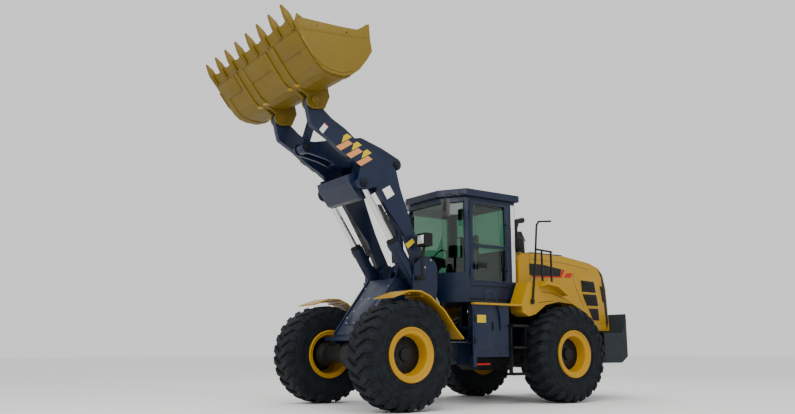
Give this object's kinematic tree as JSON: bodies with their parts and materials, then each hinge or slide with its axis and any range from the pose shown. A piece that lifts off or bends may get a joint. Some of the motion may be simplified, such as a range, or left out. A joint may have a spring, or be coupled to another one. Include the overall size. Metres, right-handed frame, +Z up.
{
  "type": "wheel loader",
  "caption": "Articulated wheel loader with a closed cab, a raised Z-bar boom and a toothed bucket rolled back.",
  "frame": {"origin": "on the ground at the vertical steering hinge, midway between the axles and on the centre line", "axes": "the machine faces -Y, its own left side is +X, and +Z is up"},
  "size_m": [2.88, 7.7113, 5.54],
  "materials": {
    "yellow_paint": "satin enamel",
    "bucket_paint": "worn satin enamel",
    "blue_paint": "satin enamel",
    "slate_paint": "satin enamel",
    "black_paint": "matt enamel",
    "iron": "painted casting",
    "rubber": "matt rubber",
    "chrome": "hard chrome",
    "tinted_glass": "green-blue tint",
    "trim": "textured plastic",
    "cushion": "woven cloth on foam"
  },
  "bodies": {
    "machine": {"rear_frame": "blue_paint", "rear_axle": "iron", "transmission": "iron", "engine": "iron", "counterweight": "slate_paint", "cab_shell": "blue_paint", "cab_roof": "blue_paint", "windscreen": "tinted_glass", "window_right": "tinted_glass", "window_rear": "tinted_glass", "seat": "cushion", "cab_console": "trim", "tank_left": "slate_paint", "tank_right": "slate_paint", "ladder_left": "blue_paint", "ladder_right": "blue_paint", "rear_fender_left": "yellow_paint", "rear_fender_right": "yellow_paint", "handrail_left": "blue_paint", "handrail_right": "blue_paint", "hood_cowl": "yellow_paint"},
    "hood_body": {"hood": "yellow_paint", "exhaust": "black_paint"},
    "door_body": {"cab_door": "blue_paint", "door_glass": "tinted_glass"},
    "front_body": {"front_frame": "blue_paint", "front_axle": "iron", "front_fender_left": "yellow_paint", "front_fender_right": "yellow_paint", "headlamp_left": "trim", "headlamp_right": "trim"},
    "boom_body": {"boom_arm_left": "blue_paint", "boom_arm_right": "blue_paint", "boom_crossbeam": "blue_paint"},
    "rocker_body": {"rocker": "blue_paint"},
    "link_body": {"bucket_link": "blue_paint"},
    "bucket_body": {"bucket_shell": "bucket_paint", "bucket_side_left": "bucket_paint", "bucket_side_right": "bucket_paint", "bucket_edge": "bucket_paint"},
    "tilt_barrel_body": {"tilt_barrel": "blue_paint"},
    "tilt_rod_body": {"tilt_rod": "chrome"},
    "lift_barrel_left_body": {"lift_barrel_left": "blue_paint"},
    "lift_rod_left_body": {"lift_rod_left": "chrome"},
    "steer_barrel_left_body": {"steer_barrel_left": "blue_paint"},
    "steer_rod_left_body": {"steer_rod_left": "chrome"},
    "wheel_front_left": {"tyre_front_left": "rubber", "rim_front_left": "yellow_paint"},
    "wheel_rear_left": {"tyre_rear_left": "rubber", "rim_rear_left": "yellow_paint"},
    "lift_barrel_right_body": {"lift_barrel_right": "blue_paint"},
    "lift_rod_right_body": {"lift_rod_right": "chrome"},
    "steer_barrel_right_body": {"steer_barrel_right": "blue_paint"},
    "steer_rod_right_body": {"steer_rod_right": "chrome"},
    "wheel_front_right": {"tyre_front_right": "rubber", "rim_front_right": "yellow_paint"},
    "wheel_rear_right": {"tyre_rear_right": "rubber", "rim_rear_right": "yellow_paint"}
  },
  "joints": [
    {"name": "steer", "type": "hinge", "parent": "machine", "child": "front_body", "pos_m": [0, 0, 0.9], "axis": [0, 0, 1], "range_deg": [-35, 35]},
    {"name": "boom_lift", "type": "hinge", "parent": "front_body", "child": "boom_body", "pos_m": [0, -0.85, 2.09], "axis": [-1, 0, 0], "range_deg": [-83, 0]},
    {"name": "bucket_tilt", "type": "hinge", "parent": "boom_body", "child": "bucket_body", "pos_m": [0, -2.885, 4.51], "axis": [1, 0, 0], "range_deg": [-50, 98]},
    {"name": "rocker_turn", "type": "hinge", "parent": "boom_body", "child": "rocker_body", "pos_m": [0, -1.8, 3.78], "axis": [-1, 0, 0], "range_deg": [-11, 22]},
    {"name": "link_turn", "type": "hinge", "parent": "rocker_body", "child": "link_body", "pos_m": [0, -2.72, 3.93], "axis": [1, 0, 0], "range_deg": [-33, 64]},
    {"name": "lift_barrel_left_turn", "type": "hinge", "parent": "front_body", "child": "lift_barrel_left_body", "pos_m": [0.53, -0.71, 1.5], "axis": [-1, 0, 0], "range_deg": [-68, 0]},
    {"name": "lift_rod_left_slide", "type": "slide", "parent": "lift_barrel_left_body", "child": "lift_rod_left_body", "axis": [0, -0.5605, 0.8282], "range_m": [-0.62, 0]},
    {"name": "lift_barrel_right_turn", "type": "hinge", "parent": "front_body", "child": "lift_barrel_right_body", "pos_m": [-0.53, -0.71, 1.5], "axis": [-1, 0, 0], "range_deg": [-68, 0]},
    {"name": "lift_rod_right_slide", "type": "slide", "parent": "lift_barrel_right_body", "child": "lift_rod_right_body", "axis": [0, -0.5605, 0.8282], "range_m": [-0.62, 0]},
    {"name": "tilt_barrel_turn", "type": "hinge", "parent": "front_body", "child": "tilt_barrel_body", "pos_m": [0, -0.9, 2.14], "axis": [-1, 0, 0], "range_deg": [-86.5, 0]},
    {"name": "tilt_rod_slide", "type": "slide", "parent": "tilt_barrel_body", "child": "tilt_rod_body", "axis": [0, -0.091, 0.9958], "range_m": [-0.28, 0.143]},
    {"name": "steer_barrel_left_turn", "type": "hinge", "parent": "machine", "child": "steer_barrel_left_body", "pos_m": [0.35, 0.85, 1], "axis": [0, 0, 1], "range_deg": [-9, 9]},
    {"name": "steer_rod_left_slide", "type": "slide", "parent": "steer_barrel_left_body", "child": "steer_rod_left_body", "axis": [0.0635, -0.998, 0], "range_m": [-0.245, 0.245]},
    {"name": "steer_barrel_right_turn", "type": "hinge", "parent": "machine", "child": "steer_barrel_right_body", "pos_m": [-0.35, 0.85, 1], "axis": [0, 0, 1], "range_deg": [-9, 9]},
    {"name": "steer_rod_right_slide", "type": "slide", "parent": "steer_barrel_right_body", "child": "steer_rod_right_body", "axis": [-0.0635, -0.998, 0], "range_m": [-0.245, 0.245]},
    {"name": "wheel_front_left_spin", "type": "hinge", "parent": "front_body", "child": "wheel_front_left", "pos_m": [1.14, -1.675, 0.79], "axis": [1, 0, 0], "continuous": true},
    {"name": "wheel_front_right_spin", "type": "hinge", "parent": "front_body", "child": "wheel_front_right", "pos_m": [-1.14, -1.675, 0.79], "axis": [1, 0, 0], "continuous": true},
    {"name": "wheel_rear_left_spin", "type": "hinge", "parent": "machine", "child": "wheel_rear_left", "pos_m": [1.14, 1.675, 0.79], "axis": [1, 0, 0], "continuous": true},
    {"name": "wheel_rear_right_spin", "type": "hinge", "parent": "machine", "child": "wheel_rear_right", "pos_m": [-1.14, 1.675, 0.79], "axis": [1, 0, 0], "continuous": true},
    {"name": "door_open", "type": "hinge", "parent": "machine", "child": "door_body", "pos_m": [0.8445, -0.0625, 2.5], "axis": [0, 0, -1], "range_deg": [0, 85]},
    {"name": "hood_open", "type": "hinge", "parent": "machine", "child": "hood_body", "pos_m": [0, 1.235, 2.524], "axis": [1, 0, 0], "range_deg": [0, 40]}
  ],
  "couplings": [
    {"joint": "rocker_turn", "follows": "bucket_tilt", "ratio": 0.22},
    {"joint": "link_turn", "follows": "bucket_tilt", "ratio": 0.65},
    {"joint": "lift_barrel_left_turn", "follows": "boom_lift", "ratio": 0.8139},
    {"joint": "lift_rod_left_slide", "follows": "boom_lift", "m_per_rad": 0.427},
    {"joint": "lift_barrel_right_turn", "follows": "boom_lift", "ratio": 0.8139},
    {"joint": "lift_rod_right_slide", "follows": "boom_lift", "m_per_rad": 0.427},
    {"joint": "tilt_barrel_turn", "follows": "boom_lift", "ratio": 1.0373},
    {"joint": "tilt_rod_slide", "follows": "bucket_tilt", "m_per_rad": -0.1622},
    {"joint": "steer_barrel_left_turn", "follows": "steer", "ratio": 0.2511},
    {"joint": "steer_rod_left_slide", "follows": "steer", "m_per_rad": -0.3991},
    {"joint": "steer_barrel_right_turn", "follows": "steer", "ratio": 0.2511},
    {"joint": "steer_rod_right_slide", "follows": "steer", "m_per_rad": 0.3991}
  ]
}
